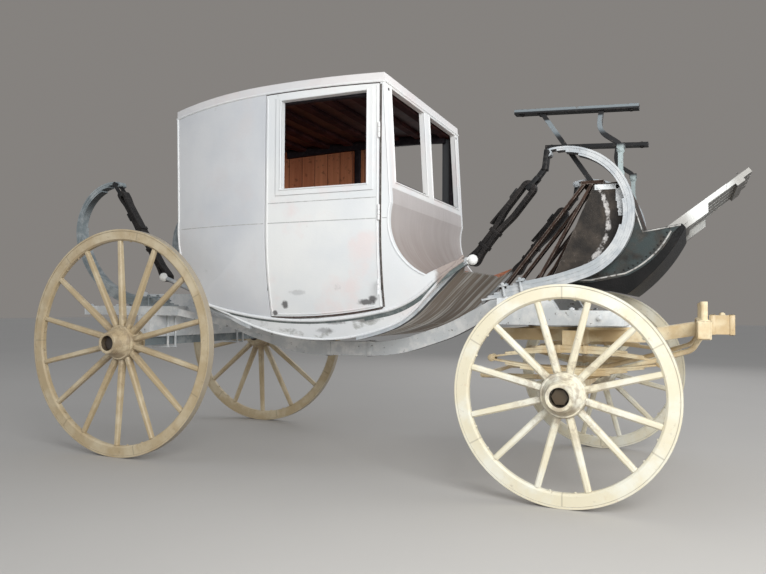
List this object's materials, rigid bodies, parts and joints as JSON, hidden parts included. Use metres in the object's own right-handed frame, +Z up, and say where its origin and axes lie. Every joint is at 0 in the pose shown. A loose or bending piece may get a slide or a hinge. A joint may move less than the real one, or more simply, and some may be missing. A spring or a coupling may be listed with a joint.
{
  "type": "gala coupe carriage",
  "caption": "Closed horse-drawn gala carriage with a hollow coupe body hung by leather braces on C-springs, hinged doors, steering fore carriage and spoked wheels.",
  "frame": {"origin": "on the ground, half way along the overall length, in the plane of symmetry", "axes": "+X forward, +Y to the carriage's left, +Z up"},
  "size_m": [4.0078, 1.714, 2.116],
  "materials": {
    "white_primer": "flat white primer",
    "bare_panel": "weathered undercoat",
    "inner_wood": "bare red-brown boards",
    "grey_iron": "pale blue-grey primer",
    "grey_primer": "pale grey primer",
    "brace_leather": "old black leather",
    "boot_leather": "worn dark leather",
    "dark_boards": "dark weathered boards",
    "seat_iron": "dull grey-green paint",
    "footboard_wood": "worn off-white paint",
    "cream_paint": "satin cream paint"
  },
  "bodies": {
    "coach": {"roof": "white_primer", "roof_bows": "inner_wood", "rear_panel": "white_primer", "left_quarter": "white_primer", "right_quarter": "white_primer", "left_flank": "white_primer", "right_flank": "white_primer", "left_rocker": "white_primer", "right_rocker": "white_primer", "floor_boards": "bare_panel", "prow_boards": "bare_panel", "front_panel": "bare_panel", "front_window_frame": "white_primer", "seat_box": "inner_wood", "front_body_loops": "grey_iron", "rear_body_loops": "grey_iron", "front_braces": "brace_leather", "rear_braces": "brace_leather", "front_c_springs": "grey_iron", "rear_c_springs": "grey_iron", "perch": "grey_primer", "perch_wings": "grey_primer", "rear_axle": "grey_primer", "rear_bed": "grey_primer", "rear_platform": "grey_primer", "front_transom": "grey_primer", "boot_sides": "boot_leather", "boot_floor": "boot_leather", "boot_front": "boot_leather", "boot_slats": "dark_boards", "seat_irons": "seat_iron", "footboard": "footboard_wood"},
    "left_door": {"left_door": "white_primer"},
    "right_door": {"right_door": "white_primer"},
    "fore_carriage": {"front_axle": "cream_paint", "under_springs": "cream_paint", "fore_frame": "cream_paint", "fore_stays": "cream_paint", "splinter_bar": "cream_paint"},
    "rear_left_wheel": {"rear_left_rim": "cream_paint", "rear_left_wheel_centre": "cream_paint"},
    "rear_right_wheel": {"rear_right_rim": "cream_paint", "rear_right_wheel_centre": "cream_paint"},
    "front_left_wheel": {"front_left_rim": "cream_paint", "front_left_wheel_centre": "cream_paint"},
    "front_right_wheel": {"front_right_rim": "cream_paint", "front_right_wheel_centre": "cream_paint"}
  },
  "joints": [
    {"name": "steering", "type": "hinge", "parent": "coach", "child": "fore_carriage", "pos_m": [1.211, 0, 0.8], "axis": [0, 0, 1], "range_deg": [-28, 28]},
    {"name": "left_door_hinge", "type": "hinge", "parent": "coach", "child": "left_door", "pos_m": [0.2635, 0.634, 1.3], "axis": [0, 0, -1], "range_deg": [0, 80]},
    {"name": "right_door_hinge", "type": "hinge", "parent": "coach", "child": "right_door", "pos_m": [0.2635, -0.634, 1.3], "axis": [0, 0, 1], "range_deg": [0, 80]},
    {"name": "rear_left_wheel_spin", "type": "hinge", "parent": "coach", "child": "rear_left_wheel", "pos_m": [-1.339, 0.765, 0.665], "axis": [0, 1, 0], "continuous": true},
    {"name": "rear_right_wheel_spin", "type": "hinge", "parent": "coach", "child": "rear_right_wheel", "pos_m": [-1.339, -0.765, 0.665], "axis": [0, 1, 0], "continuous": true},
    {"name": "front_left_wheel_spin", "type": "hinge", "parent": "fore_carriage", "child": "front_left_wheel", "pos_m": [1.211, 0.745, 0.495], "axis": [0, 1, 0], "continuous": true},
    {"name": "front_right_wheel_spin", "type": "hinge", "parent": "fore_carriage", "child": "front_right_wheel", "pos_m": [1.211, -0.745, 0.495], "axis": [0, 1, 0], "continuous": true}
  ]
}
